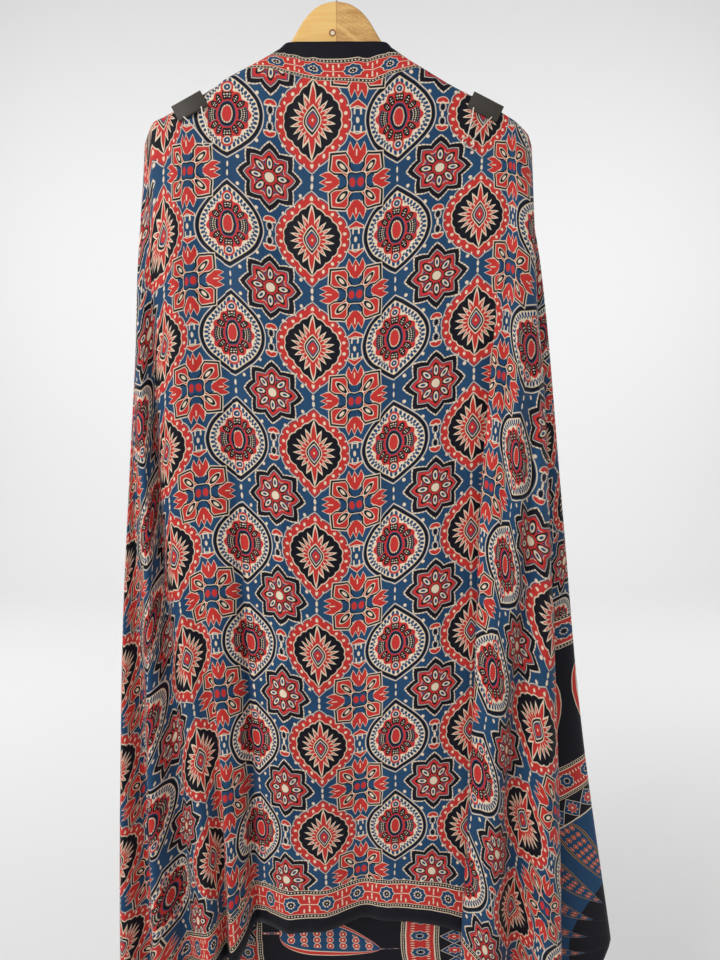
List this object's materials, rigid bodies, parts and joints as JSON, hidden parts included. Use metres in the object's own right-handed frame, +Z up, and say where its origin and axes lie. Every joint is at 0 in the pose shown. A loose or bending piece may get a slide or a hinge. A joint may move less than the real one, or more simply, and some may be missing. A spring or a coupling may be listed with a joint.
{
  "type": "ajrakh cloth hung on a wooden coat hanger with two binder clips",
  "caption": "Long block-printed ajrakh cloth in indigo, madder red and black, draped in soft folds over a plain wooden coat hanger and held at the shoulders by binder clips.",
  "frame": {"origin": "inside top of the hook, where a rail bears", "axes": "+X to the right of the front, +Y from the front to the back, +Z up along the hook's shank"},
  "size_m": [0.7033, 0.1754, 1.5031],
  "materials": {
    "cloth": "soft sheen",
    "wood_pale": "satin lacquer",
    "wood_figured": "satin lacquer",
    "hook_steel": "polished",
    "clip_black": "semi-gloss",
    "clip_wire": "polished"
  },
  "bodies": {
    "root": {"cloth": "cloth", "hanger_left_arm": "wood_pale", "hanger_right_arm": "wood_figured", "hook": "hook_steel", "clip_left_body": "clip_black", "clip_left_handle_front": "clip_wire", "clip_left_handle_back": "clip_wire", "clip_right_body": "clip_black", "clip_right_handle_front": "clip_wire", "clip_right_handle_back": "clip_wire"}
  },
  "joints": []
}
